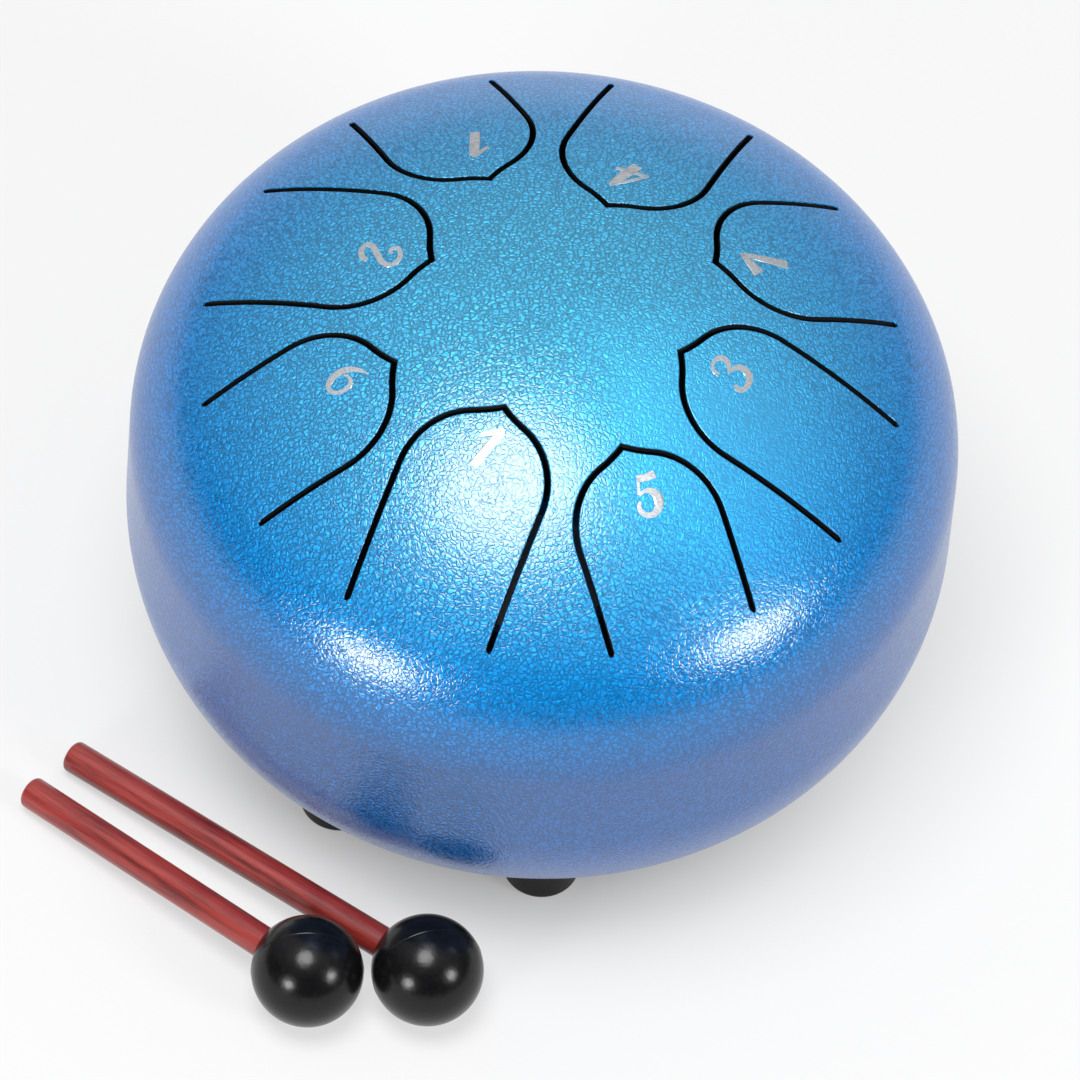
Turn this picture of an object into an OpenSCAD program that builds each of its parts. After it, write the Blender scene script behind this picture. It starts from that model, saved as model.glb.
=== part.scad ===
// Eight-note steel tongue drum on rubber feet, with its two mallets lying in front of it.
// The origin is on the drum's axis at floor level, with +Z up and -Y towards the player.

/* [Body] */
// Outer diameter of the drum at its straight band
outer_d = 155; // [138:1:180]
// Thickness of the sheet steel
wall = 1.5; // [1:0.1:2.5]
// Radius of the domed playing surface
dome_r = 107; // [95:1:140]
// Radius of the rounded shoulder above the band
shoulder_r = 31; // [22:0.5:36]
// Height of the straight band round the middle
band_h = 19.2; // [12:0.2:30]
// Height of the bowl, from the flat base up to the band
bowl_h = 31.5; // [26:0.5:38]
// Radius of the bowl's side
bowl_r = 41; // [38:0.5:45]
// Radius where the bowl's side turns into the flat base
base_corner_r = 6; // [4:0.5:10]

/* [Seam] */
// Height of the seam above the lower edge of the band
seam_rise = 9.6; // [5:0.1:12]
// How far the bowl's rim reaches up inside the top shell
lap_h = 4; // [2:0.5:8]
// Radial gap between the bowl's rim and the top shell
lap_gap = 0.1; // [0.05:0.05:0.4]

/* [Tongues] */
// Width of a tongue, between the middles of its two side slots
tongue_w = 28.2; // [22:0.2:30]
// Width of the cut slots
slot_w = 1.15; // [0.6:0.05:2]
// Distance from the drum's axis to the tip of a long tongue
long_tip_x = 24.9; // [22:0.1:28]
// Distance from the drum's axis to the tip of a short tongue
short_tip_x = 32.1; // [29:0.1:36]
// Distance from the drum's outside to the slots' ends, along the tongue
root_inset = 14.2; // [12:0.1:18]
// Gap that stands in for the bending line at a tongue's root
root_gap = 0.15; // [0.1:0.05:0.5]
// Half-width of the hollow flare on each side of the pointed tip
flare_w = 5; // [3:0.1:8]
// Slope of the slot at the tip, from square to the tongue
tip_angle = 33; // [25:1:45]
// Slope of the slot where the flare runs into the round end
flare_angle = 19; // [12:1:22]
// Turn of the first tongue about the drum's axis
tongues_turn = -108.4; // [-180:0.1:180]

/* [Sound hole] */
// Radius of the sound hole in the base
hole_r = 15; // [10:0.5:24]
// Radius of its turned-in lip
lip_r = 5; // [3:0.5:8]
// Height of the straight collar above the lip
collar_h = 3; // [1:0.5:8]

/* [Feet] */
// Height of the rubber feet
foot_h = 15; // [12:0.5:20]
// Radius of a foot
foot_r = 7.3; // [6:0.1:7.8]
// Radius round the edge that meets the floor
foot_round = 1.8; // [0.5:0.1:2.5]
// Distance from the edge of the flat base to the nearest side of a foot
foot_inset = 0.2; // [0:0.1:10]
// Turn of the first foot about the drum's axis
feet_turn = -83; // [-180:0.5:180]
// Radius of the recess for a screw's head
recess_r = 4.6; // [4.3:0.1:5]
// Depth of that recess
recess_depth = 6; // [5:0.5:8]

/* [Fasteners] */
// Radius of a foot screw's shank
screw_r = 2; // [1.5:0.1:2.2]
// Radius of a screw's head
head_r = 3.6; // [3:0.1:3.8]
// Height of a screw's head
head_h = 2.4; // [1.5:0.1:3]
// Width of the head's cross recess
drive_w = 0.9; // [0.5:0.1:1.2]
// Depth of the head's cross recess
drive_depth = 1.4; // [0.6:0.1:1.4]
// Length of the screw that shows past its nut
screw_end = 1.2; // [0.4:0.1:3]
// Radial clearance round a screw
screw_gap = 0.15; // [0.1:0.05:0.4]
// Radius of a washer
washer_r = 4.2; // [3.8:0.1:4.25]
// Thickness of a washer
washer_t = 0.8; // [0.4:0.1:1.2]
// Width of a nut across its corners
nut_w = 8.1; // [7:0.1:9]
// Height of a nut
nut_h = 3.2; // [2:0.1:4]

/* [Mallets] */
// Radius of a mallet's rubber ball
ball_r = 10.6; // [8:0.1:12]
// Radius of a mallet's stick
stick_r = 3.1; // [2.5:0.1:4]
// Radius round the edge of a stick's free end
stick_round = 0.9; // [0.3:0.1:1.5]
// How far a stick reaches past the middle of its ball
stick_in = 3; // [0:0.5:6]
// Radial gap between a stick and the bore of its ball
stick_gap = 0.05; // [0.02:0.01:0.1]
// Distance from the ball's middle to the free end, front mallet
mallet_1_l = 68.5; // [60:0.5:120]
// Distance from the ball's middle to the free end, rear mallet
mallet_2_l = 84.5; // [60:0.5:120]
// Place of the rear mallet's ball round the drum
mallets_place = -98.7; // [-180:0.1:180]
// Distance from the drum's outside to the middle of that ball, seen from above
mallets_off = 7.7; // [4:0.1:40]
// How far the rear stick leans in from square to the line to its ball
rear_lean = 24.2; // [15:0.1:30]
// How far the front stick leans in from the line of the rear stick
front_lean = 2.5; // [-8:0.1:4]
// Gap between the front ball and the rear ball
balls_gap = 1.25; // [0.5:0.05:5]
// Gap between the front ball and the rear stick, seen from above
ball_stick_gap = 0.6; // [0.4:0.1:3]

/* [Hidden] */
TONGUES = ["tongue_1_low", "tongue_5", "tongue_3", "tongue_7",
           "tongue_4", "tongue_1_high", "tongue_2", "tongue_6"];
FEET = ["foot_1", "foot_2", "foot_3", "foot_4", "foot_5", "foot_6", "foot_7", "foot_8"];
$fn = 96;
// How far a cut runs past the surface that it opens
overrun = 1;
// How far the dome lies inside the shoulder where the two run together
join_depth = 0.002;
// Straight steps along the round stretches of a tongue's outline
flare_steps = 2;
end_steps = 7;
slot_end_steps = 4;
tongue_count = len(TONGUES);
foot_count = len(FEET);

// Levels above the floor and the centres of the body's arcs
outer_r = outer_d / 2;
base_z = foot_h;
band_z = base_z + bowl_h;
band_top = band_z + band_h;
seam_z = band_z + seam_rise;
shoulder_x = outer_r - shoulder_r;
dome_z = band_top - sqrt(pow(dome_r - shoulder_r, 2) - pow(shoulder_x, 2));
apex_z = dome_z + dome_r;
bowl_x = outer_r - bowl_r;
corner_z = base_z + base_corner_r;
corner_x = bowl_x + sqrt(pow(bowl_r - base_corner_r, 2) - pow(band_z - corner_z, 2));
lap_x = outer_r - wall - lap_gap;
root_x = outer_r - root_inset;
feet_ring_r = corner_x - foot_r - foot_inset;

// Arcs of a tongue's outline, along the middle of its slot
flare_r = flare_w / (sin(tip_angle) - sin(flare_angle));
flare_l = flare_r * (cos(flare_angle) - cos(tip_angle));
end_r = (tongue_w / 2 - flare_w) / (1 - sin(flare_angle));
end_x = flare_l + end_r * cos(flare_angle);
end_y = tongue_w / 2 - end_r;

// Levels of a foot's fastener
washer_z = recess_depth - washer_t;
head_z = washer_z - head_h;
nut_z = base_z + wall;
screw_top = nut_z + nut_h + screw_end;

// Places of the mallets, with the front ball's place taken from the rear mallet
rear_turn = mallets_place - 90 - rear_lean;
rear_ball = (outer_r + mallets_off) * [cos(mallets_place), sin(mallets_place)];
ball_across = ball_r + stick_r + ball_stick_gap;
ball_along = sqrt(pow(2 * ball_r + balls_gap, 2) - pow(ball_across, 2));
front_ball = rear_ball + ball_along * [cos(rear_turn), sin(rear_turn)]
             + ball_across * [-sin(rear_turn), cos(rear_turn)];
front_turn = rear_turn - front_lean;

// Half of the top shell's outline, drawn in by an inset and cut off at a level
module dome_outline(inset, floor_z) {
    reach = (dome_r + overrun) / (dome_r - shoulder_r);
    far_x = shoulder_x * reach;
    far_z = dome_z + (band_top - dome_z) * reach;
    intersection() {
        union() {
            intersection() {
                translate([0, dome_z]) circle(r = dome_r - join_depth - inset);
                polygon([[0, dome_z], [far_x, far_z], [far_x, apex_z + overrun], [0, apex_z + overrun]]);
            }
            translate([shoulder_x, band_top]) circle(r = shoulder_r - inset);
            translate([0, floor_z]) square([outer_r - inset, band_top - floor_z]);
        }
        translate([0, floor_z]) square([outer_r, apex_z + overrun - floor_z]);
    }
}

// Half of the bowl's outline, drawn in by an inset and cut off at a level
module bowl_outline(inset, top_z) {
    reach = (bowl_r + overrun) / (bowl_r - base_corner_r);
    far_x = bowl_x + (corner_x - bowl_x) * reach;
    far_z = band_z + (corner_z - band_z) * reach;
    side_x = outer_r + overrun;
    intersection() {
        translate([bowl_x, band_z]) circle(r = bowl_r - inset);
        polygon([[bowl_x, band_z], [far_x, far_z], [side_x, far_z], [side_x, top_z], [bowl_x, top_z]]);
    }
    translate([corner_x, corner_z]) circle(r = base_corner_r - inset);
    polygon([[0, base_z + inset], [corner_x, base_z + inset], [corner_x, corner_z],
             [outer_r - inset, band_z], [outer_r - inset, top_z], [0, top_z]]);
}

// The whole domed sheet, before the tongues are cut free
module dome_sheet() {
    rotate_extrude(convexity = 4)
        difference() {
            dome_outline(0, seam_z);
            dome_outline(wall, seam_z - overrun);
        }
}

// Points along an arc about a centre, from one angle to another
function arc(centre, r, from, to, steps) =
    [for (k = [0 : steps]) let (a = from + (to - from) * k / steps) centre + r * [cos(a), sin(a)]];

// Upper half of a tongue's plan, from its tip outwards, with the middle of its slot moved out by grow
function leaf_side(tip_x, grow) =
    let (hollow = [tip_x - flare_r * cos(tip_angle), flare_r * sin(tip_angle)],
         point_angle = asin(hollow[1] / (flare_r - grow)))
    concat(arc(hollow, flare_r - grow, -point_angle, -flare_angle, flare_steps),
           arc([tip_x + end_x, end_y], end_r + grow, 180 - flare_angle, 90, end_steps));

// A half outline and its mirror image, as one loop
function both_sides(half) =
    concat(half, [for (k = [len(half) - 1 : -1 : 1]) [half[k][0], -half[k][1]]]);

// Plan of the opening that a tongue and its slot leave in the sheet
module window_plan(tip_x) {
    slot_end = arc([root_x, tongue_w / 2], slot_w / 2, 90, -90, slot_end_steps);
    polygon(both_sides(concat(leaf_side(tip_x, slot_w / 2), slot_end)));
}

// Plan of the tongue inside its slot
module tongue_plan(tip_x) {
    root_corner = [root_x - root_gap, (tongue_w - slot_w) / 2];
    polygon(both_sides(concat(leaf_side(tip_x, -slot_w / 2), [root_corner])));
}

function tip_x(i) = i % 2 == 0 ? long_tip_x : short_tip_x;
function tongue_turn(i) = tongues_turn + i * 360 / tongue_count;

module top_shell() {
    color("dodgerblue")
        difference() {
            dome_sheet();
            for (i = [0 : tongue_count - 1])
                rotate([0, 0, tongue_turn(i)])
                    translate([0, 0, seam_z])
                        linear_extrude(apex_z + overrun - seam_z)
                            window_plan(tip_x(i));
        }
}

module tongue(i) {
    color("deepskyblue")
        intersection() {
            dome_sheet();
            rotate([0, 0, tongue_turn(i)])
                translate([0, 0, seam_z])
                    linear_extrude(apex_z + overrun - seam_z)
                        tongue_plan(tip_x(i));
        }
}

// Turns children to each foot's place
module at_foot(i) {
    rotate([0, 0, feet_turn + i * 360 / foot_count])
        translate([feet_ring_r, 0, 0])
            children();
}

// Half of the sound hole's turned-in edge, with some of the base round it
module hole_lip() {
    bend = [hole_r + lip_r, base_z + lip_r];
    difference() {
        translate([hole_r, base_z]) square([2 * lip_r, lip_r + collar_h]);
        difference() {
            translate([hole_r - overrun, base_z - overrun]) square(lip_r + overrun);
            translate(bend) circle(r = lip_r);
        }
        translate(bend) circle(r = lip_r - wall);
        translate([hole_r + wall, base_z + lip_r]) square([2 * lip_r, collar_h + overrun]);
        translate([hole_r + lip_r, base_z + wall]) square([2 * lip_r, lip_r + collar_h]);
    }
}

module bottom_shell() {
    color("royalblue")
        difference() {
            rotate_extrude(convexity = 6) {
                difference() {
                    bowl_outline(0, seam_z + lap_h);
                    bowl_outline(wall, seam_z - lap_h);
                    // Inside and outside of the rim that the top shell slides over
                    translate([0, band_z]) square([lap_x - wall, seam_z + lap_h + overrun - band_z]);
                    translate([lap_x, seam_z]) square([outer_r, lap_h + overrun]);
                    translate([0, base_z - overrun]) square([hole_r + lip_r, wall + 2 * overrun]);
                }
                hole_lip();
            }
            for (i = [0 : foot_count - 1])
                at_foot(i)
                    translate([0, 0, base_z - overrun])
                        cylinder(r = screw_r + screw_gap, h = wall + 2 * overrun);
        }
}

module foot(i) {
    color("dimgray")
        at_foot(i)
            rotate_extrude()
                difference() {
                    union() {
                        translate([0, foot_round]) square([foot_r, foot_h - foot_round]);
                        square([foot_r - foot_round, foot_round]);
                        translate([foot_r - foot_round, foot_round]) circle(r = foot_round);
                    }
                    translate([0, -overrun]) square([recess_r, recess_depth + overrun]);
                    square([screw_r + screw_gap, foot_h + overrun]);
                    translate([-foot_r, -overrun]) square([foot_r, foot_h + 2 * overrun]);
                }
}

module foot_washers() {
    color("silver")
        for (i = [0 : foot_count - 1])
            at_foot(i)
                translate([0, 0, washer_z])
                    difference() {
                        cylinder(r = washer_r, h = washer_t);
                        translate([0, 0, -overrun])
                            cylinder(r = screw_r + screw_gap, h = washer_t + 2 * overrun);
                    }
}

module foot_screws() {
    color("lightgray")
        for (i = [0 : foot_count - 1])
            at_foot(i)
                difference() {
                    union() {
                        translate([0, 0, head_z]) cylinder(r = head_r, h = head_h);
                        translate([0, 0, head_z]) cylinder(r = screw_r, h = screw_top - head_z);
                    }
                    for (turn = [0, 90])
                        rotate([0, 0, turn])
                            translate([-head_r / 2, -drive_w / 2, head_z - overrun])
                                cube([head_r, drive_w, drive_depth + overrun]);
                }
}

module foot_nuts() {
    color("gainsboro")
        for (i = [0 : foot_count - 1])
            at_foot(i)
                translate([0, 0, nut_z])
                    difference() {
                        cylinder(d = nut_w, h = nut_h, $fn = 6);
                        translate([0, 0, -overrun])
                            cylinder(r = screw_r + screw_gap, h = nut_h + 2 * overrun);
                    }
}

// Slope of a mallet that rests on its ball and on the edge of its free end
function mallet_tilt(l) =
    asin((ball_r - stick_round) / sqrt(pow(l - stick_round, 2) + pow(stick_r - stick_round, 2)))
    - atan((stick_r - stick_round) / (l - stick_round));

// Lays a mallet down, from its own frame with the ball at zero and the stick along +X
module lay_mallet(place, turn, l) {
    translate([place[0], place[1], ball_r])
        rotate([0, 0, turn])
            rotate([0, mallet_tilt(l), 0])
                children();
}

module stick(l) {
    color("brown")
        translate([-stick_in, 0, 0])
            rotate([0, 90, 0])
                rotate_extrude()
                    intersection() {
                        union() {
                            square([stick_r, l + stick_in - stick_round]);
                            square([stick_r - stick_round, l + stick_in]);
                            translate([stick_r - stick_round, l + stick_in - stick_round])
                                circle(r = stick_round);
                        }
                        square([stick_r, l + stick_in]);
                    }
}

module ball() {
    color("black")
        difference() {
            sphere(r = ball_r);
            translate([-stick_in, 0, 0])
                rotate([0, 90, 0])
                    cylinder(r = stick_r + stick_gap, h = stick_in + ball_r + overrun);
        }
}

module mallet_1_stick() {
    lay_mallet(front_ball, front_turn, mallet_1_l) stick(mallet_1_l);
}

module mallet_1_ball() {
    lay_mallet(front_ball, front_turn, mallet_1_l) ball();
}

module mallet_2_stick() {
    lay_mallet(rear_ball, rear_turn, mallet_2_l) stick(mallet_2_l);
}

module mallet_2_ball() {
    lay_mallet(rear_ball, rear_turn, mallet_2_l) ball();
}

top_shell();
for (i = [0 : tongue_count - 1])
    tongue(i);
bottom_shell();
for (i = [0 : foot_count - 1])
    foot(i);
foot_washers();
foot_screws();
foot_nuts();
mallet_1_stick();
mallet_1_ball();
mallet_2_stick();
mallet_2_ball();
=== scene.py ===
import bpy, bmesh
from math import acos, asin, atan2, cos, degrees, hypot, pi, radians, sin, sqrt
from mathutils import Matrix, Vector


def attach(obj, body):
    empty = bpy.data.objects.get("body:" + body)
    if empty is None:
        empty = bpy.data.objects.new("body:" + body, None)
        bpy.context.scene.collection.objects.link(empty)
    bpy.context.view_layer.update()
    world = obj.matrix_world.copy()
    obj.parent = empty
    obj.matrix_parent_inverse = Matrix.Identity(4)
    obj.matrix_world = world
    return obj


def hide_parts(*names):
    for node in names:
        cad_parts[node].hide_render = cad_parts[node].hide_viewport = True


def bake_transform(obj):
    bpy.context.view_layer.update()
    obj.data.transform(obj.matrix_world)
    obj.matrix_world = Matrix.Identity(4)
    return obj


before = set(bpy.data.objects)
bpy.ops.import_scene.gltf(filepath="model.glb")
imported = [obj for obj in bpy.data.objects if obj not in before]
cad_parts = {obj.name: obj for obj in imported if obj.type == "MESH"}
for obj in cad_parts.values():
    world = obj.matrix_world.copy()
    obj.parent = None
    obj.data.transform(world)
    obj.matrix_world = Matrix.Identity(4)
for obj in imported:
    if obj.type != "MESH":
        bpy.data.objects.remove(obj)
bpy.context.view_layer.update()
scene = bpy.context.scene

# Camera
# A long lens high in front of the drum, turned a little about its own axis, as in the photograph.
# It looks at a point on the drum's axis, about a third of the way up.
CAMERA_AT = Vector((0.000909, -1.73650, 2.60015))
LOOKS_AT = Vector((0.000909, 0, 0.03216))
CAMERA_ROLL = radians(5.102)
LENS_MM, SENSOR_MM = 548.08, 36
NEAREST, FARTHEST = 0.5, 20

camera_data = bpy.data.cameras.new("camera")
camera_data.lens = LENS_MM
camera_data.sensor_width = SENSOR_MM
camera_data.clip_start = NEAREST
camera_data.clip_end = FARTHEST
camera = bpy.data.objects.new("camera", camera_data)
scene.collection.objects.link(camera)
aim = (LOOKS_AT - CAMERA_AT).to_track_quat("-Z", "Y").to_matrix().to_4x4()
camera.matrix_world = Matrix.Translation(CAMERA_AT) @ aim @ Matrix.Rotation(CAMERA_ROLL, 4, "Z")
scene.camera = camera
scene.view_settings.view_transform = "Standard"

# Studio
# One sheet of white paper, in a dim room with a soft ceiling, lit by a large soft lamp overhead and
# two smaller ones at the sides. Where it is looked at, the paper glows up to white, but the glow
# fades out under and around the drum as a painted shadow. It is only part of the picture.
FLOOR_SIZE = 6.0
FLOOR_WHITE = (0.60, 0.60, 0.60, 1)
FLOOR_SEEN = (0.26, 0.26, 0.26, 1)
FLOOR_GLOW = 0.59
# Painted shadow: no glow within GLOW_FROM of the drum's axis, full glow beyond GLOW_TO.
GLOW_FROM, GLOW_TO = 0.035, 0.075
ROOM_TONE = (0.97, 0.98, 1.0, 1)
ROOM_LEVEL, CEILING_LEVEL = 0.06, 0.65
CEILING_WAY = (0, 0.5, 0.866)
CEILING_FROM, CEILING_TO = 0.15, 0.95
LAMP_AIM = Vector((0, 0, 0.08))

floor_bm = bmesh.new()
bmesh.ops.create_grid(floor_bm, x_segments=1, y_segments=1, size=FLOOR_SIZE / 2)
floor_mesh = bpy.data.meshes.new("floor")
floor_bm.to_mesh(floor_mesh)
floor_bm.free()
floor = bpy.data.objects.new("floor", floor_mesh)
scene.collection.objects.link(floor)


def add_node(tree, kind, links=(), **settings):
    """Adds a shader node, with its inputs given by name as values or as other nodes' outputs."""
    node = tree.nodes.new(kind)
    for key, value in settings.items():
        setattr(node, key, value)
    for key, value in dict(links).items():
        if hasattr(value, "is_output"):
            tree.links.new(value, node.inputs[key])
        else:
            node.inputs[key].default_value = value
    return node


def looked_at(tree):
    """One where the camera, a reflection or a clear material looks straight at the paper."""
    rays = add_node(tree, "ShaderNodeLightPath").outputs
    seen = rays["Is Camera Ray"]
    for other in ("Is Glossy Ray", "Is Transmission Ray"):
        seen = add_node(tree, "ShaderNodeMath", {0: seen, 1: rays[other]},
                        operation="MAXIMUM").outputs[0]
    return seen


floor_paper = bpy.data.materials.new("white_paper")
floor_paper.use_nodes = True
tree = floor_paper.node_tree
tree.nodes.clear()
seen = looked_at(tree)
place = add_node(tree, "ShaderNodeTexCoord").outputs["Object"]
away = add_node(tree, "ShaderNodeVectorMath", {0: place}, operation="LENGTH").outputs["Value"]
# The glow fades to nothing under the drum, as a painted shadow.
glow_with_painted_shadow = add_node(tree, "ShaderNodeMapRange", {
    "Value": away, "From Min": GLOW_FROM, "From Max": GLOW_TO, "To Max": FLOOR_GLOW},
    interpolation_type="SMOOTHSTEP")
glow = add_node(tree, "ShaderNodeEmission", {"Strength": glow_with_painted_shadow.outputs[0]})
pale = add_node(tree, "ShaderNodeBsdfDiffuse", {"Color": FLOOR_SEEN})
bright = add_node(tree, "ShaderNodeAddShader", {0: pale.outputs[0], 1: glow.outputs[0]})
matt = add_node(tree, "ShaderNodeBsdfDiffuse", {"Color": FLOOR_WHITE})
pick = add_node(tree, "ShaderNodeMixShader", {0: seen, 1: matt.outputs[0], 2: bright.outputs[0]})
add_node(tree, "ShaderNodeOutputMaterial", {"Surface": pick.outputs[0]})
floor.data.materials.append(floor_paper)

world = bpy.data.worlds.new("studio")
scene.world = world
world.use_nodes = True
tree = world.node_tree
tree.nodes.clear()
way = add_node(tree, "ShaderNodeTexCoord").outputs["Generated"]
facing = add_node(tree, "ShaderNodeVectorMath", {0: way, 1: CEILING_WAY}, operation="DOT_PRODUCT")
level = add_node(tree, "ShaderNodeMapRange", {
    "Value": facing.outputs["Value"], "From Min": CEILING_FROM, "From Max": CEILING_TO,
    "To Min": ROOM_LEVEL, "To Max": CEILING_LEVEL}, interpolation_type="SMOOTHSTEP")
room = add_node(tree, "ShaderNodeBackground", {"Color": ROOM_TONE, "Strength": level.outputs[0]})
add_node(tree, "ShaderNodeOutputWorld", {"Surface": room.outputs[0]})


def softbox(name, direction, distance, size, watts):
    """Round soft lamp that faces the drum."""
    lamp = bpy.data.lights.new(name, "AREA")
    lamp.shape = "DISK"
    lamp.size = size
    lamp.energy = watts
    box = bpy.data.objects.new(name, lamp)
    place = LAMP_AIM + Vector(direction).normalized() * distance
    way = (LAMP_AIM - place).to_track_quat("-Z", "Y").to_matrix().to_4x4()
    box.matrix_world = Matrix.Translation(place) @ way
    scene.collection.objects.link(box)


softbox("lamp_above", (-0.117, -0.146, 0.982), distance=2.4, size=1.25, watts=50)
softbox("lamp_left", (-0.57, -0.78, 0.25), distance=2.0, size=0.58, watts=19)
softbox("lamp_right", (0.77, -0.46, 0.44), distance=2.0, size=0.58, watts=18)

# Playing surface
# One deep-drawn steel sheet: a dome, a round shoulder and the upper part of the straight band.
# Eight slots cut in it free the tongues, and the paint rounds every cut edge.
WALL = 0.0015
OUTER_R = 0.0775
DOME_R = 0.107
SHOULDER_R = 0.031
BAND_TOP = 0.0657
SEAM_Z = 0.0561
SHOULDER_X = OUTER_R - SHOULDER_R
DOME_Z = BAND_TOP - sqrt((DOME_R - SHOULDER_R) ** 2 - SHOULDER_X ** 2)
JOIN_ANGLE = atan2(BAND_TOP - DOME_Z, SHOULDER_X)
JOIN_X = DOME_R * cos(JOIN_ANGLE)
JOIN_Z = DOME_Z + DOME_R * sin(JOIN_ANGLE)
TURNS = 360
SHOULDER_STEPS, BAND_STEPS = 26, 5

TONGUES = ("tongue_1_low", "tongue_5", "tongue_3", "tongue_7",
           "tongue_4", "tongue_1_high", "tongue_2", "tongue_6")
TONGUES_TURN = radians(-108.4)
PITCH = 2 * pi / len(TONGUES)
TONGUE_W = 0.0282
SLOT_W = 0.00115
LONG_TIP, SHORT_TIP = 0.0249, 0.0321
ROOT_X = 0.0633
FLARE_W = 0.005
TIP_ANGLE, FLARE_ANGLE = radians(33), radians(19)
FLARE_STEPS, SWELL_STEPS, SLOT_END_STEPS = 6, 24, 10
STRAIGHT_STEP = 0.0014
ROOT_CUTS, SLICE_CUTS = 14, 24
FACE_SIZES = (0.016, 0.008, 0.005, 0.0035, 0.0026, 0.0026)
LIP = 0.00022
LIP_STEPS, WALL_STEPS = 3, 3
NEAR, SLICE_MERGE = 1e-6, 4e-6
SHARP = radians(40)

PEBBLE_SCALE, PEBBLE_EDGE = 1000, 0.24
WARP_SCALE, WARP_BY = 700, 0.0014
GRAIN_SCALE, GRAIN_PART = 1600, 1.6
PEBBLE_DEPTH, GLOSS_DEPTH = 0.00016, 0.000024
PIT_SHADE = 0.42
SMOOTH_AT = (0.030, -0.025, 0.104)
SMOOTH_R, ROUGH_R, SMOOTH_PART = 0.018, 0.0504, 0.3
RAGGED_SCALE, RAGGED_BY = 60, 0.02
# Painted light from above: the paint's colour gets lighter and more cyan from the top of the band
# up to the top of the dome.
PAINTED_LIGHT_FROM, PAINTED_LIGHT_TO = 0.066, 0.112
PAINTED_TOP_LIGHT_TONES = ((0.0, (0.0005, 0.14, 0.46)), (0.45, (0.001, 0.28, 0.76)), (1.0, (0.040, 0.49, 0.82)))


def verts_of(result):
    return [g for g in result if isinstance(g, bmesh.types.BMVert)]


def new_finish(name, **values):
    """Starts a material from the main shader, with constants such as Roughness set on it."""
    finish = bpy.data.materials.new(name)
    finish.use_nodes = True
    shader = finish.node_tree.nodes["Principled BSDF"]
    for key, value in values.items():
        shader.inputs[key.replace("_", " ")].default_value = value
    return finish, finish.node_tree, shader


def add_part(tree, value, part, base):
    """Adds a part of one value to another."""
    return add_node(tree, "ShaderNodeMath", {0: value, 1: part, 2: base},
                    operation="MULTIPLY_ADD").outputs[0]


def toned(tree, value, tones):
    """Colour that runs through the tones, each given with its place on the value's scale."""
    tint = add_node(tree, "ShaderNodeValToRGB", {"Fac": value})
    stops = tint.color_ramp.elements
    stops[0].position, stops[1].position = tones[0][0], tones[-1][0]
    stops[0].color, stops[1].color = (*tones[0][1], 1), (*tones[-1][1], 1)
    for at, color in tones[1:-1]:
        stops.new(at).color = (*color, 1)
    return tint.outputs["Color"]


def set_relief(tree, shader, height, **depths):
    """Raises the surface, and where it is named the gloss on it, each to its own depth."""
    for socket, depth in depths.items():
        bump = add_node(tree, "ShaderNodeBump", {"Height": height, "Distance": depth})
        tree.links.new(bump.outputs["Normal"], shader.inputs[socket.replace("_", " ")])


def blue_paint():
    """Metallic blue that dries in small pebbles under a clear gloss.

    It is painted lighter and more cyan towards the top of the dome, as painted light from above.
    The creases between its pebbles are darkened as painted shade, and it has one smoother patch at
    the front right."""
    paint, tree, shader = new_finish("blue_paint", Metallic=0.7, Roughness=0.45,
                                     Specular_Tint=(0.02, 0.45, 1, 1),
                                     Coat_Weight=0.9, Coat_Roughness=0.2, Coat_IOR=1.8)
    place = add_node(tree, "ShaderNodeTexCoord").outputs["Object"]
    warp = add_node(tree, "ShaderNodeTexNoise", {"Vector": place, "Scale": WARP_SCALE, "Detail": 1})
    shift = add_node(tree, "ShaderNodeVectorMath", {
        0: warp.outputs["Color"], 1: (WARP_BY,) * 3, 2: place}, operation="MULTIPLY_ADD")
    cells = add_node(tree, "ShaderNodeTexVoronoi", {
        "Vector": shift.outputs[0], "Scale": PEBBLE_SCALE}, feature="DISTANCE_TO_EDGE")
    pebble = add_node(tree, "ShaderNodeMapRange", {
        "Value": cells.outputs["Distance"], "From Max": PEBBLE_EDGE},
        interpolation_type="SMOOTHSTEP").outputs[0]
    grain = add_node(tree, "ShaderNodeTexNoise", {
        "Vector": place, "Scale": GRAIN_SCALE, "Detail": 2}).outputs["Fac"]
    far = add_node(tree, "ShaderNodeVectorMath", {0: place, 1: SMOOTH_AT}, operation="DISTANCE")
    ragged = add_node(tree, "ShaderNodeTexNoise", {
        "Vector": place, "Scale": RAGGED_SCALE, "Detail": 1}).outputs["Fac"]
    rough = add_node(tree, "ShaderNodeMapRange", {
        "Value": add_part(tree, ragged, RAGGED_BY, far.outputs["Value"]),
        "From Min": SMOOTH_R, "From Max": ROUGH_R, "To Min": SMOOTH_PART, "To Max": 1.0},
        interpolation_type="SMOOTHSTEP").outputs[0]
    relief = add_node(tree, "ShaderNodeMath", {
        0: add_part(tree, grain, GRAIN_PART, pebble), 1: rough}, operation="MULTIPLY")
    set_relief(tree, shader, relief.outputs[0], Normal=PEBBLE_DEPTH, Coat_Normal=GLOSS_DEPTH)
    # Painted light: the colour is lighter towards the top of the dome, set by height alone.
    up = add_node(tree, "ShaderNodeSeparateXYZ", {0: place}).outputs["Z"]
    rise = add_node(tree, "ShaderNodeMapRange", {
        "Value": up, "From Min": PAINTED_LIGHT_FROM, "From Max": PAINTED_LIGHT_TO})
    # Painted shade: the creases between the pebbles are darker in colour, less so on the smoother
    # patch.
    shade = add_node(tree, "ShaderNodeMapRange", {
        "Value": pebble, "To Min": add_part(tree, rough, -PIT_SHADE, 1.0)})
    shaded = add_node(tree, "ShaderNodeVectorMath", {
        0: toned(tree, rise.outputs[0], PAINTED_TOP_LIGHT_TONES), "Scale": shade.outputs[0]}, operation="SCALE")
    tree.links.new(shaded.outputs[0], shader.inputs["Base Color"])
    return paint


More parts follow.
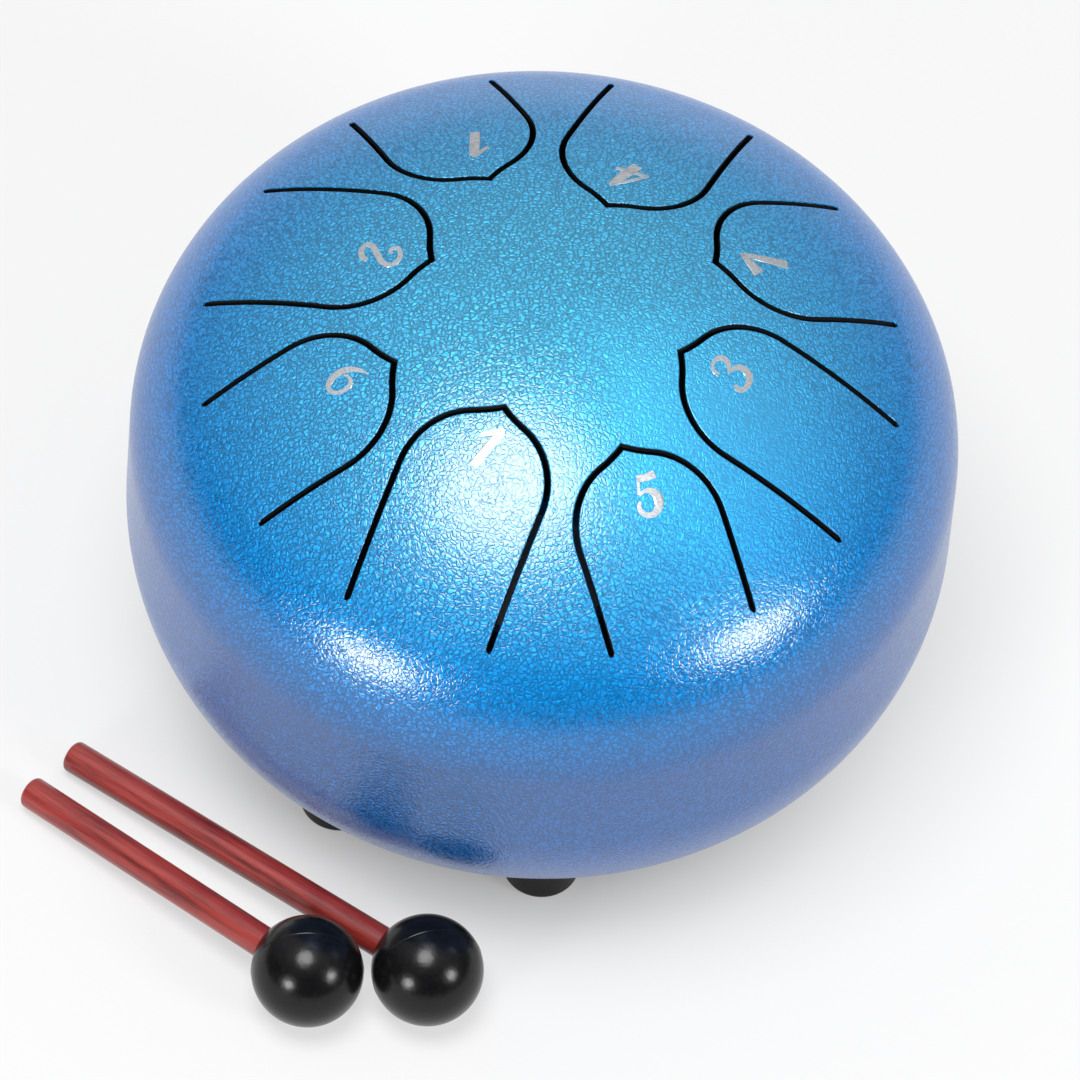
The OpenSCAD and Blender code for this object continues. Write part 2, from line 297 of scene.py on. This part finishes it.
def speckled(name, color, speck, grain, depth, **values):
    """Plain finish with a fine grain in its colour and in its surface."""
    finish, tree, shader = new_finish(name, **values)
    place = add_node(tree, "ShaderNodeTexCoord").outputs["Object"]
    dust = add_node(tree, "ShaderNodeTexNoise", {
        "Vector": place, "Scale": grain, "Detail": 3}).outputs["Fac"]
    tree.links.new(toned(tree, dust, ((0.35, color), (0.72, speck))), shader.inputs["Base Color"])
    set_relief(tree, shader, dust, Normal=depth)
    return finish


paint = blue_paint()
# Near-black painted shade for the inside of the drum and the slot walls, so that the slots read
# black.
painted_shade_inside = speckled("painted_shade_inside", color=(0.003, 0.004, 0.006), speck=(0.006, 0.007, 0.010),
                      grain=500, depth=0.00002, Roughness=0.7)


def about_z(angle):
    return Matrix.Rotation(angle, 3, "Z")


def dome_height(co, radius=DOME_R):
    return DOME_Z + sqrt(radius ** 2 - co.x ** 2 - co.y ** 2)


def skin_normal(co):
    """Way out of the drum's skin above the seam."""
    radius = hypot(co.x, co.y)
    if radius <= JOIN_X + NEAR:
        return (co - Vector((0, 0, DOME_Z))).normalized()
    across = Vector((co.x, co.y, 0)) / radius
    if co.z <= BAND_TOP:
        return across
    return (co - across * SHOULDER_X - Vector((0, 0, BAND_TOP))).normalized()


def tongue_outline(tip_x, grow, slot_end):
    """Closed outline, seen from above, at a distance from the middle of a tongue's slot."""
    flare_r = FLARE_W / (sin(TIP_ANGLE) - sin(FLARE_ANGLE))
    end_r = (TONGUE_W / 2 - FLARE_W) / (1 - sin(FLARE_ANGLE))
    end_x = flare_r * (cos(FLARE_ANGLE) - cos(TIP_ANGLE)) + end_r * cos(FLARE_ANGLE)
    hollow = Vector((tip_x - flare_r * cos(TIP_ANGLE), flare_r * sin(TIP_ANGLE), 0))
    swell = Vector((tip_x + end_x, TONGUE_W / 2 - end_r, 0))
    point_angle = asin(hollow.y / (flare_r - grow))
    bm = bmesh.new()
    start = hollow + (flare_r - grow) * Vector((cos(point_angle), -sin(point_angle), 0))
    tail = bmesh.ops.create_vert(bm, co=start)["vert"]
    for centre, angle, steps in ((hollow, point_angle - FLARE_ANGLE, FLARE_STEPS),
                                 (swell, FLARE_ANGLE - pi / 2, SWELL_STEPS)):
        arc = bmesh.ops.spin(bm, geom=tail, cent=centre, axis=(0, 0, 1), angle=angle, steps=steps)
        tail = verts_of(arc["geom_last"])
    run = ROOT_X - tail[0].co.x
    steps = round(run / STRAIGHT_STEP)
    for _ in range(steps):
        tail = bmesh.ops.extrude_vert_indiv(bm, verts=tail)["verts"]
        bmesh.ops.translate(bm, verts=tail, vec=(run / steps, 0, 0))
    if slot_end:
        bmesh.ops.spin(bm, geom=tail, cent=(ROOT_X, TONGUE_W / 2, 0), axis=(0, 0, 1), angle=-pi,
                       steps=SLOT_END_STEPS)
    bmesh.ops.mirror(bm, geom=bm.verts[:] + bm.edges[:], axis="Y", merge_dist=NEAR)
    root = bm.edges.new([v for v in bm.verts if len(v.link_edges) == 1])
    bmesh.ops.subdivide_edges(bm, edges=[root], cuts=ROOT_CUTS)
    return bm


def add_outline(bm, tip_x, side):
    """Adds an outline where the flat skin ends, whose verts know the way on to the slot's wall."""
    edge = tongue_outline(tip_x, side * (SLOT_W / 2 + LIP), side > 0)
    wall = tongue_outline(tip_x, side * SLOT_W / 2, side > 0)
    lean = edge.verts.layers.float_vector.new("lean")
    half_root = TONGUE_W / 2 - SLOT_W / 2 - LIP - NEAR
    for vert, target in zip(edge.verts, wall.verts):
        at_root = abs(vert.co.x - ROOT_X) < NEAR and abs(vert.co.y) < half_root
        vert[lean] = (0, 0, 0) if at_root else target.co - vert.co
    carrier = bpy.data.meshes.new("outline")
    edge.to_mesh(carrier)
    bm.from_mesh(carrier)
    bpy.data.meshes.remove(carrier)
    edge.free()
    wall.free()


def dome_piece(i, side):
    """Makes a tongue's skin, or with side 1 the slice of dome that its slot is cut in."""
    bm = bmesh.new()
    add_outline(bm, SHORT_TIP if i % 2 else LONG_TIP, side)
    if side > 0:
        middle = bmesh.ops.create_vert(bm, co=(0, 0, 0))["vert"][0]
        corner = about_z(-PITCH / 2) @ Vector((JOIN_X, 0, 0))
        first = bmesh.ops.create_vert(bm, co=corner)["vert"]
        arc = bmesh.ops.spin(bm, geom=first, cent=(0, 0, 0), axis=(0, 0, 1), angle=PITCH,
                             steps=TURNS // len(TONGUES))
        last = verts_of(arc["geom_last"])[0]
        sides = [bm.edges.new((middle, first[0])), bm.edges.new((last, middle))]
        bmesh.ops.subdivide_edges(bm, edges=sides, cuts=SLICE_CUTS)
    # The flat fill is drawn at a slant, because it skips edges that run exactly along an axis
    lean = bm.verts.layers.float_vector["lean"]
    slant = about_z(TONGUES_TURN + i % 2 * PITCH)
    bmesh.ops.rotate(bm, verts=bm.verts, cent=(0, 0, 0), matrix=slant)
    bmesh.ops.triangle_fill(bm, edges=bm.edges, use_beauty=True)
    bmesh.ops.rotate(bm, verts=bm.verts, cent=(0, 0, 0), matrix=about_z((i - i % 2) * PITCH))
    for size in FACE_SIZES:
        inner = [e for e in bm.edges if len(e.link_faces) == 2]
        too_long = [e for e in inner if e.calc_length() > size]
        bmesh.ops.subdivide_edges(bm, edges=too_long, cuts=1)
        bmesh.ops.triangulate(bm, faces=bm.faces)
        inner = [e for e in bm.edges if len(e.link_faces) == 2]
        bmesh.ops.beautify_fill(bm, faces=bm.faces, edges=inner)
    turn = about_z(TONGUES_TURN + i * PITCH)
    for vert in bm.verts:
        vert[lean] = turn @ vert[lean]
        vert.co.z = dome_height(vert.co)
    return bm


def finish_piece(name, bm, materials, normals=None):
    """Makes the object of a finished mesh, smooth but for its sharp corners."""
    for face in bm.faces:
        face.smooth = True
    if normals is None:
        for edge in bm.edges:
            edge.smooth = edge.calc_face_angle(0) < SHARP
    mesh = bpy.data.meshes.new(name)
    bm.to_mesh(mesh)
    bm.free()
    if normals:
        mesh.normals_split_custom_set_from_vertices(normals)
    for material in materials:
        mesh.materials.append(material)
    piece = bpy.data.objects.new(name, mesh)
    scene.collection.objects.link(piece)
    return piece


def steel_sheet(name, bm):
    """Gives a skin its thickness and rolls its edge over at the slots."""
    lean = bm.verts.layers.float_vector["lean"]
    base = bm.verts.layers.float_vector.new("base")
    depth = bm.verts.layers.float.new("depth")
    for vert in bm.verts:
        vert[base] = vert.co
    grown = bmesh.ops.extrude_face_region(bm, geom=bm.faces, use_keep_orig=True)["geom"]
    for vert in verts_of(grown):
        vert[depth] = 1
        vert.co -= skin_normal(vert.co) * WALL
    rows = LIP_STEPS + WALL_STEPS
    upright = [e for e in bm.edges if e.verts[0][depth] != e.verts[1][depth]]
    bmesh.ops.subdivide_edges(bm, edges=upright, cuts=rows - 1, use_grid_fill=True)
    bmesh.ops.recalc_face_normals(bm, faces=bm.faces)
    normals = []
    for vert in bm.verts:
        row = round(vert[depth] * rows)
        start, way = vert[base].copy(), vert[lean].copy()
        out = skin_normal(start)
        if 0 < row < rows and way.length > 0:
            bend = min(row / LIP_STEPS, 1) * pi / 2
            vert.co = start + way * sin(bend)
            if row <= LIP_STEPS:
                vert.co.z = dome_height(vert.co) - LIP * (1 - cos(bend))
            else:
                vert.co.z = dome_height(vert.co, DOME_R - WALL * row / rows)
            out = out * cos(bend) + way.normalized() * sin(bend)
        normals.append((-out if row == rows else out).normalized())
    # Below the rolled lip, the slot walls and the sheet's underside get the near-black painted
    # shade.
    for face in bm.faces:
        middle = sum(v[depth] for v in face.verts) / len(face.verts)
        face.material_index = 1 if middle * rows > LIP_STEPS else 0
    sheet = finish_piece(name, bm, (paint, painted_shade_inside), normals)
    for spare in ("lean", "base", "depth"):
        sheet.data.attributes.remove(sheet.data.attributes[spare])
    return sheet


shell = bmesh.new()
carrier = bpy.data.meshes.new("slice")
for i in range(len(TONGUES)):
    cut_slice = dome_piece(i, 1)
    cut_slice.to_mesh(carrier)
    cut_slice.free()
    shell.from_mesh(carrier)
bpy.data.meshes.remove(carrier)
dome_verts = set(shell.verts)
ring = bmesh.ops.create_vert(shell, co=(JOIN_X, 0, JOIN_Z))["vert"]
curve = bmesh.ops.spin(shell, geom=ring, cent=(SHOULDER_X, 0, BAND_TOP), axis=(0, 1, 0),
                       angle=JOIN_ANGLE, steps=SHOULDER_STEPS)["geom_last"]
ring = verts_of(curve)
for _ in range(BAND_STEPS):
    ring = bmesh.ops.extrude_vert_indiv(shell, verts=ring)["verts"]
    bmesh.ops.translate(shell, verts=ring, vec=(0, 0, (SEAM_Z - BAND_TOP) / BAND_STEPS))
profile = [v for v in shell.verts if v not in dome_verts]
turn = about_z(TONGUES_TURN - PITCH / 2)
bmesh.ops.rotate(shell, verts=profile, cent=(0, 0, 0), matrix=turn)
profile += [e for e in shell.edges if not e.link_faces and e.verts[0] not in dome_verts]
bmesh.ops.spin(shell, geom=profile, cent=(0, 0, 0), axis=(0, 0, 1), angle=2 * pi, steps=TURNS,
               use_merge=True)
bmesh.ops.remove_doubles(shell, verts=shell.verts, dist=SLICE_MERGE)
bmesh.ops.recalc_face_normals(shell, faces=shell.faces)
top_shell = steel_sheet("playing_surface", shell)
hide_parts("top_shell")
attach(top_shell, "drum")

for i, node in enumerate(TONGUES):
    leaf = dome_piece(i, -1)
    bmesh.ops.recalc_face_normals(leaf, faces=leaf.faces)
    tongue = steel_sheet(node + "_leaf", leaf)
    azimuth = TONGUES_TURN + i * PITCH
    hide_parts(node)
    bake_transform(tongue)

# Numbers
# Thin silver foil, one number stamped on each tongue near its tip, read from the drum's rim.
# Each is drawn in pen strokes, as points on the stroke's middle line with its width, in pen units.
# Where it goes is given with it: along and across the tongue, and how far it leans, in degrees.
FOIL_T = 0.00005
FOIL_TONES = ((0.3, (0.42, 0.45, 0.48)), (0.65, (0.80, 0.83, 0.85)))
BRUSH_SCALE, BRUSH_TURN, BRUSH_STRETCH = 6000, 0.7, (0.12, 1, 1)
BRUSH_DEPTH = 0.00002
PEN_UNIT = 0.0016
HALF_STROKE = 0.52
UPPER_SIDE = 0.00002
ONE = (((-0.95, -2.5, 1.2), (-0.2, 0.0, 1.2), (0.55, 2.45, 1.2)),
       ((0.75, 2.7, 0.5), (-0.4, 1.95, 0.6), (-1.5, 1.25, 0.5)))
TWO = (((-0.3, 1.3, 0.45), (-0.85, 0.9, 0.45), (-1.3, 1.4, 0.55), (-0.8, 2.15, 0.6),
        (0.4, 2.45, 0.7), (1.3, 1.8, 0.65), (1.1, 0.7, 0.75), (0.1, -0.4, 0.8),
        (-0.95, -1.5, 0.8), (-1.1, -2.25, 0.75), (-0.3, -2.6, 0.75), (0.7, -2.15, 0.8),
        (1.2, -1.3, 0.6)),)
THREE = (((-1.25, 1.35, 0.6), (-1.1, 2.1, 0.5), (-0.4, 2.55, 0.4), (0.5, 2.4, 0.6),
          (1.0, 1.8, 0.9), (0.7, 0.95, 0.8), (-0.4, 0.4, 0.2)),
         ((-0.4, 0.4, 0.2), (0.5, 0.15, 0.5), (1.15, -0.6, 0.95), (1.0, -1.6, 1.1),
          (0.1, -2.15, 0.85), (-1.0, -2.05, 0.65), (-1.6, -1.45, 0.75), (-1.3, -0.85, 0.5)))
FOUR = (((-0.45, -2.1, 1.3), (0.3, 0.4, 1.3), (1.05, 2.95, 0.75)),
        ((1.15, 3.1, 0.35), (-0.5, 1.3, 0.45), (-2.2, -0.95, 0.4)),
        ((-2.2, -0.85, 0.5), (-0.3, -0.6, 0.65), (1.6, -0.35, 0.6)))
FIVE = (((-0.95, 2.15, 0.85), (0.1, 2.0, 0.9), (1.3, 2.1, 1.05)),
        ((-0.75, 2.2, 0.4), (-1.05, 1.2, 0.38), (-1.3, 0.3, 0.4)),
        ((-1.3, 0.15, 0.25), (-0.5, 0.5, 0.5), (0.35, 0.2, 0.95), (0.75, -0.9, 1.25),
         (0.2, -2.0, 0.95), (-0.75, -2.35, 0.7), (-1.6, -1.8, 0.7), (-1.75, -1.05, 0.55),
         (-1.4, -0.5, 0.3)))
SIX = (((0.9, 2.55, 0.12), (0.0, 2.0, 0.45), (-0.9, 0.9, 0.75), (-1.2, -0.5, 0.95),
        (-0.8, -1.8, 0.85), (0.0, -2.3, 0.6), (0.9, -1.8, 0.5), (1.2, -0.8, 0.6),
        (0.9, 0.15, 0.65), (0.1, 0.4, 0.45), (-0.65, 0.0, 0.3)),)
SEVEN = (((1.45, 2.9, 0.45), (0.75, 1.0, 0.95), (0.1, -0.9, 1.15), (-0.55, -2.8, 1.4)),
         ((1.35, 2.75, 0.5), (-0.2, 2.15, 1.3), (-1.6, 1.7, 1.7)))
NUMBERS = ((ONE, 0.0332, 0.0006, 0), (FIVE, 0.0416, 0.0019, 0), (THREE, 0.0349, 0.0016, 0),
           (SEVEN, 0.0421, -0.0010, 0), (FOUR, 0.0350, -0.0001, 0), (ONE, 0.0430, -0.0013, -6),
           (TWO, 0.0346, 0.0010, 0), (SIX, 0.0410, -0.0015, 0))


def silver_foil():
    """Brushed silver foil, with fine scratches that run one way."""
    foil, tree, shader = new_finish("silver_foil", Metallic=0.9, Roughness=0.33)
    place = add_node(tree, "ShaderNodeTexCoord").outputs["Object"]
    comb = add_node(tree, "ShaderNodeMapping", {
        "Vector": place, "Scale": BRUSH_STRETCH, "Rotation": (0, 0, BRUSH_TURN)})
    brush = add_node(tree, "ShaderNodeTexNoise", {
        "Vector": comb.outputs[0], "Scale": BRUSH_SCALE, "Detail": 3}).outputs["Fac"]
    tree.links.new(toned(tree, brush, FOIL_TONES), shader.inputs["Base Color"])
    set_relief(tree, shader, brush, Normal=BRUSH_DEPTH)
    return foil


foil = silver_foil()
for i, (strokes, along, across, lean_angle) in enumerate(NUMBERS):
    pen = bpy.data.curves.new("pen", "CURVE")
    pen.dimensions = "3D"
    pen.bevel_depth = 1
    pen.bevel_resolution = 4
    pen.use_fill_caps = True
    pen.resolution_u = 8
    for stroke in strokes:
        line = pen.splines.new("BEZIER")
        line.bezier_points.add(len(stroke) - 1)
        for point, (x, y, width) in zip(line.bezier_points, stroke):
            point.co = (x * PEN_UNIT, y * PEN_UNIT, 0)
            point.radius = width * PEN_UNIT * HALF_STROKE
            point.handle_left_type = point.handle_right_type = "AUTO"
    drawing = bpy.data.objects.new("pen", pen)
    number = bmesh.new()
    drawn = bpy.data.meshes.new_from_object(drawing)
    number.from_mesh(drawn)
    azimuth = TONGUES_TURN + i * PITCH
    centre = Vector((along, across, 0))
    centre.z = dome_height(centre)
    centre = about_z(azimuth) @ centre
    rise = skin_normal(centre)
    up = -(about_z(azimuth) @ Vector((1, 0, 0)))
    up = (up - rise * up.dot(rise)).normalized()
    right = up.cross(rise)
    slope = about_z(radians(lean_angle))
    # Each stroke is pressed flat on the dome, with its lower side just inside the paint
    for vert in number.verts:
        flat = slope @ Vector((vert.co.x, vert.co.y, 0))
        co = centre + right * flat.x + up * flat.y
        height = FOIL_T if vert.co.z > UPPER_SIDE else -FOIL_T
        way = (co - Vector((0, 0, DOME_Z))).normalized()
        vert.co = Vector((0, 0, DOME_Z)) + way * (DOME_R + height)
    bmesh.ops.recalc_face_normals(number, faces=number.faces)
    stamped = finish_piece("number_on_" + TONGUES[i], number, (foil,))
    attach(stamped, TONGUES[i])
    bpy.data.objects.remove(drawing)
    bpy.data.curves.remove(pen)
    bpy.data.meshes.remove(drawn)

# Bowl
# The lower half is a second deep-drawn sheet: a round side that turns in to a flat base, with a
# sound hole in its middle whose edge is rolled inwards. Its rim slips inside the band and is
# welded, ground flush and painted over.
BAND_Z = 0.0465
BOWL_R = 0.041
BASE_Z = 0.015
CORNER_R = 0.006
HOLE_R = 0.015
HOLE_LIP_R = 0.005
COLLAR_H = 0.003
LAP_H = 0.004
LAP_GAP = 0.0001
BOWL_X = OUTER_R - BOWL_R
CORNER_Z = BASE_Z + CORNER_R
CORNER_X = BOWL_X + sqrt((BOWL_R - CORNER_R) ** 2 - (BAND_Z - CORNER_Z) ** 2)
CORNER_ANGLE = atan2(BAND_Z - CORNER_Z, CORNER_X - BOWL_X)
MERGE = 2e-6
INWARDS, UPWARDS = -0.2, 0.3


def draw_section(bm, start, moves):
    """Draws a section in the XZ plane by its moves, each of which ends with its number of steps.

    A move starts with the point that a run goes to, or with an arc's centre and its degrees."""
    tail = bmesh.ops.create_vert(bm, co=(start[0], 0, start[1]))["vert"]
    for move in moves:
        if len(move) == 3:
            x, z, steps = move
            run = (Vector((x, 0, z)) - tail[0].co) / steps
            for _ in range(steps):
                tail = bmesh.ops.extrude_vert_indiv(bm, verts=tail)["verts"]
                bmesh.ops.translate(bm, verts=tail, vec=run)
        else:
            x, z, angle, steps = move
            arc = bmesh.ops.spin(bm, geom=tail, cent=(x, 0, z), axis=(0, -1, 0),
                                 angle=radians(angle), steps=steps)
            tail = verts_of(arc["geom_last"])


def turn_section(bm, steps):
    """Spins the section drawn so far into a closed body about the Z axis."""
    bmesh.ops.spin(bm, geom=bm.verts[:] + bm.edges[:], cent=(0, 0, 0), axis=(0, 0, 1), angle=2 * pi,
                   steps=steps, use_merge=True)
    bmesh.ops.remove_doubles(bm, verts=bm.verts, dist=MERGE)
    bmesh.ops.recalc_face_normals(bm, faces=bm.faces)


lap_x = OUTER_R - WALL - LAP_GAP
down = degrees(CORNER_ANGLE)
curl_x, curl_z = HOLE_R + HOLE_LIP_R, BASE_Z + HOLE_LIP_R
bowl = bmesh.new()
draw_section(bowl, (curl_x, BASE_Z), (
    (CORNER_X, BASE_Z, 10), (CORNER_X, CORNER_Z, 90 - down, 8), (BOWL_X, BAND_Z, down, 30),
    (OUTER_R, SEAM_Z, 4), (lap_x, SEAM_Z, 1), (lap_x, SEAM_Z + LAP_H, 1),
    (lap_x - WALL, SEAM_Z + LAP_H, 1), (lap_x - WALL, BAND_Z, 2),
    (BOWL_X + BOWL_R - WALL, BAND_Z, 1), (BOWL_X, BAND_Z, -down, 20),
    (CORNER_X, CORNER_Z, down - 90, 6), (curl_x, BASE_Z + WALL, 6), (curl_x, curl_z, -90, 6),
    (HOLE_R + WALL, curl_z + COLLAR_H, 1), (HOLE_R, curl_z + COLLAR_H, 1), (HOLE_R, curl_z, 1),
    (curl_x, curl_z, 90, 8)))
bmesh.ops.remove_doubles(bowl, verts=bowl.verts, dist=MERGE)
turn_section(bowl, TURNS)
# The bowl's inside faces get the near-black painted shade, all but the rolled lip of the sound
# hole.
for face in bowl.faces:
    middle = face.calc_center_median()
    across = Vector((middle.x, middle.y, 0)).normalized()
    inside = face.normal.dot(across) < INWARDS or face.normal.z > UPWARDS
    reach = middle.xy.length
    on_lip = reach < curl_x and hypot(reach - curl_x, middle.z - curl_z) > HOLE_LIP_R - WALL / 2
    face.material_index = 1 if inside and not on_lip and reach > HOLE_R + WALL else 0
bottom_shell = finish_piece("bowl", bowl, (paint, painted_shade_inside))
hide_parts("bottom_shell")
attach(bottom_shell, "drum")

# Feet
# Eight moulded rubber feet in a ring, each rounded at its lower edge, with a recess underneath
# for the head of the screw that holds it to the base.
FEET = 8
FEET_TURN = radians(-83)
FOOT_R = 0.0073
FOOT_INSET = 0.0002
FOOT_ROUND = 0.0018
FOOT_EDGE = 0.0003
RECESS_R = 0.0046
RECESS_DEPTH = 0.006
SCREW_HOLE_R = 0.00215
FEET_RING_R = CORNER_X - FOOT_R - FOOT_INSET
FOOT_SIDES = 72

rubber = speckled("foot_rubber", color=(0.005, 0.005, 0.0055), speck=(0.010, 0.010, 0.0105),
                  grain=900, depth=0.00004, Roughness=0.4, Specular_IOR_Level=0.2)
for i in range(FEET):
    foot = bmesh.new()
    draw_section(foot, (SCREW_HOLE_R, BASE_Z), (
        (FOOT_R - FOOT_EDGE, BASE_Z, 1), (FOOT_R - FOOT_EDGE, BASE_Z - FOOT_EDGE, -90, 4),
        (FOOT_R, FOOT_ROUND, 6), (FOOT_R - FOOT_ROUND, FOOT_ROUND, -90, 10),
        (RECESS_R + FOOT_EDGE, 0, 1), (RECESS_R + FOOT_EDGE, FOOT_EDGE, -90, 4),
        (RECESS_R, RECESS_DEPTH, 1), (SCREW_HOLE_R, RECESS_DEPTH, 1), (SCREW_HOLE_R, BASE_Z, 1)))
    bmesh.ops.remove_doubles(foot, verts=foot.verts, dist=MERGE)
    turn_section(foot, FOOT_SIDES)
    angle = FEET_TURN + i * 2 * pi / FEET
    place = FEET_RING_R * Vector((cos(angle), sin(angle), 0))
    bmesh.ops.translate(foot, verts=foot.verts, vec=place)
    pad = finish_piece("rubber_foot_%d" % (i + 1), foot, (rubber,))
    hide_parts("foot_%d" % (i + 1))
    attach(pad, "drum")

# Screws, washers and nuts
# Zinc-plated steel, one set to a foot, with the nut inside the base. The solids have the right
# shape and only get their finish.
zinc = speckled("zinc_plate", color=(0.40, 0.40, 0.38), speck=(0.62, 0.62, 0.60),
                grain=1500, depth=0.00001, Metallic=1, Roughness=0.32)
for node in ("foot_screws", "foot_washers", "foot_nuts"):
    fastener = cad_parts[node]
    fastener.data.materials.clear()
    fastener.data.materials.append(zinc)

# Sticks
# Turned red hardwood under a clear varnish, round at the free end, with the other end pressed into
# the ball. Each is given by its length, its ball's place on the floor and its turn in degrees.
BALL_R = 0.0106
STICK_R = 0.0031
STICK_ROUND = 0.0009
STICK_IN = 0.003
STICK_SIDES = 64
MALLETS = {"mallet_1": (0.0685, (-0.0351856, -0.0868258), -215.4),
           "mallet_2": (0.0845, (-0.0128874, -0.0842197), -212.9)}
GRAIN_STRETCH = (14, 1, 1)
STREAK_SCALE, FLECK_SCALE, FLECK_PART = 700, 2400, 0.45
GRAIN_DEPTH = 0.00005
WOOD_TONES = ((0.50, (0.10, 0.010, 0.009)), (0.68, (0.24, 0.022, 0.018)),
              (0.92, (0.33, 0.036, 0.028)))


def mallet_frame(length, place, turn):
    """A mallet's own frame: its ball at zero, its stick along X, resting on ball and free end."""
    reach = hypot(length - STICK_ROUND, STICK_R - STICK_ROUND)
    tilt = asin((BALL_R - STICK_ROUND) / reach) - atan2(STICK_R - STICK_ROUND, length - STICK_ROUND)
    return (Matrix.Translation((*place, BALL_R)) @ Matrix.Rotation(radians(turn), 4, "Z")
            @ Matrix.Rotation(tilt, 4, "Y"))


def red_wood(name, pose):
    """Varnished red wood, with dark streaks of grain along the stick that lies in the pose."""
    wood, tree, shader = new_finish(name, Roughness=0.38, Coat_Weight=0.35, Coat_Roughness=0.18)
    place = add_node(tree, "ShaderNodeTexCoord").outputs["Object"]
    along = add_node(tree, "ShaderNodeMapping", {
        "Vector": place, "Location": pose.translation, "Rotation": pose.to_euler(),
        "Scale": GRAIN_STRETCH}, vector_type="TEXTURE").outputs[0]
    streak = add_node(tree, "ShaderNodeTexNoise", {
        "Vector": along, "Scale": STREAK_SCALE, "Detail": 3}).outputs["Fac"]
    fleck = add_node(tree, "ShaderNodeTexNoise", {
        "Vector": along, "Scale": FLECK_SCALE, "Detail": 2}).outputs["Fac"]
    grain = add_part(tree, fleck, FLECK_PART, streak)
    tree.links.new(toned(tree, grain, WOOD_TONES), shader.inputs["Base Color"])
    set_relief(tree, shader, grain, Normal=GRAIN_DEPTH)
    return wood


for mallet, facts in MALLETS.items():
    pose = mallet_frame(*facts)
    end = facts[0]
    stick = bmesh.new()
    draw_section(stick, (0, -STICK_IN), (
        (STICK_R, -STICK_IN, 3), (STICK_R, end - STICK_ROUND, 40),
        (STICK_R - STICK_ROUND, end - STICK_ROUND, 90, 6), (0, end, 3)))
    turn_section(stick, STICK_SIDES)
    bmesh.ops.transform(stick, verts=stick.verts, matrix=pose @ Matrix.Rotation(pi / 2, 4, "Y"))
    rod = finish_piece(mallet + "_wood", stick, (red_wood(mallet + "_red_wood", pose),))
    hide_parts(mallet + "_stick")
    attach(rod, mallet)

# Balls
# Solid black rubber moulded in two halves, so a fine raised line runs round each ball where the
# mould closed, turned as the photograph shows it. A blind bore holds the stick.
SKIN_R = 0.01055
BORE_R = 0.00315
BORE_EDGE = 0.0003
BALL_SIDES = 128
LINE_W = 0.00022
LINE_SIDES = 160
LINES = {"mallet_1": (0.03, -0.72, 0.69), "mallet_2": (0.28, -0.68, 0.67)}

black = speckled("ball_rubber", color=(0.0025, 0.0025, 0.003), speck=(0.006, 0.006, 0.0065),
                 grain=1400, depth=0.00003, Roughness=0.24, Specular_IOR_Level=0.3)
for mallet, facts in MALLETS.items():
    pose = mallet_frame(*facts)
    mouth = acos((BORE_R + BORE_EDGE) / SKIN_R)
    ball = bmesh.new()
    draw_section(ball, (0, -SKIN_R), (
        (0, 0, 90 + degrees(mouth), 72), (BORE_R, SKIN_R * sin(mouth) - BORE_EDGE, 2),
        (BORE_R, -STICK_IN, 2), (0, -STICK_IN, 1)))
    turn_section(ball, BALL_SIDES)
    bmesh.ops.transform(ball, verts=ball.verts, matrix=Matrix.Rotation(pi / 2, 4, "Y"))
    bmesh.ops.transform(ball, verts=ball.verts, matrix=pose)
    body = set(ball.verts)
    draw_section(ball, (SKIN_R - LINE_W / 4, -LINE_W), (
        (BALL_R, 0, 2), (SKIN_R - LINE_W / 4, LINE_W, 2)))
    line = [v for v in ball.verts if v not in body]
    edges = [e for e in ball.edges if e.verts[0] not in body]
    bmesh.ops.spin(ball, geom=line + edges, cent=(0, 0, 0), axis=(0, 0, 1), angle=2 * pi,
                   steps=LINE_SIDES, use_merge=True)
    line = [v for v in ball.verts if v not in body]
    facing = camera.matrix_world.to_3x3() @ Vector(LINES[mallet])
    bmesh.ops.transform(ball, verts=line, matrix=Matrix.Translation(pose.translation)
                        @ facing.to_track_quat("Z", "Y").to_matrix().to_4x4())
    bmesh.ops.recalc_face_normals(ball, faces=ball.faces)
    head = finish_piece(mallet + "_rubber_ball", ball, (black,))
    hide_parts(mallet + "_ball")
    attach(head, mallet)
